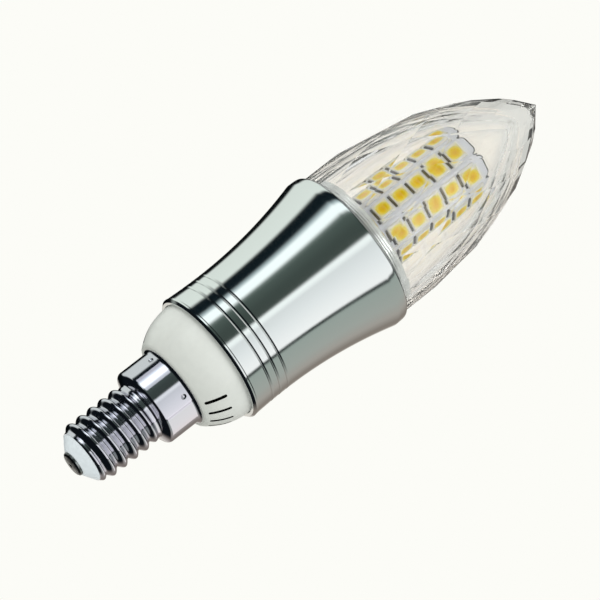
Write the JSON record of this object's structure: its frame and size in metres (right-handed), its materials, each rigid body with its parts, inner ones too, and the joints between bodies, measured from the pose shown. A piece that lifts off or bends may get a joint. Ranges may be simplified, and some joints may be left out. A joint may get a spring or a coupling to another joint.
{
  "type": "candle bulb",
  "caption": "LED candle bulb: small screw cap, white plastic base, polished aluminium body and a faceted clear cover round a column of light chips.",
  "frame": {"origin": "on the bulb's axis, at the outer face of the centre contact", "axes": "+Z along the bulb's axis, from the screw cap towards the tip of the cover; +X towards the side of the housing near one group of vent slots"},
  "size_m": [0.036, 0.036, 0.1256],
  "materials": {
    "nickel_plated_cap": "bright nickel plate on rolled brass",
    "contact_metal": "dull nickel plate",
    "cap_insulator": "moulded white, satin",
    "white_housing": "moulded white, satin",
    "polished_aluminium": "turned and polished",
    "plain_aluminium": "extruded",
    "screw_steel": "zinc plated",
    "white_board": "white solder mask on aluminium",
    "chip_body": "moulded white",
    "chip_phosphor": "yellow silicone",
    "clear_cover": "clear, moulded with flat facets",
    "driver_laminate": "green laminate",
    "component_black": "moulded black",
    "capacitor_sleeve": "shrunk sleeve",
    "ferrite": "sintered",
    "copper_winding": "enamelled copper wire",
    "resistor_brown": "painted ceramic",
    "brown_insulation": "insulated wire",
    "blue_insulation": "insulated wire",
    "red_insulation": "insulated wire",
    "black_insulation": "insulated wire"
  },
  "bodies": {
    "root": {"centre_contact": "contact_metal", "cap_insulator": "cap_insulator", "screw_shell": "nickel_plated_cap", "base_housing": "white_housing", "heat_sink": "polished_aluminium", "core_post": "plain_aluminium", "post_screws": "screw_steel", "led_board": "white_board", "led_packages": "chip_body", "led_phosphors": "chip_phosphor", "clear_cover": "clear_cover", "driver_board": "driver_laminate", "fusible_resistor": "resistor_brown", "bridge_rectifier": "component_black", "input_capacitor": "capacitor_sleeve", "output_capacitor": "capacitor_sleeve", "choke_core": "ferrite", "choke_winding": "copper_winding", "driver_chip": "component_black", "output_diode": "component_black", "chip_resistors": "component_black", "live_lead": "brown_insulation", "neutral_lead": "blue_insulation", "positive_lead": "red_insulation", "negative_lead": "black_insulation"}
  },
  "joints": []
}
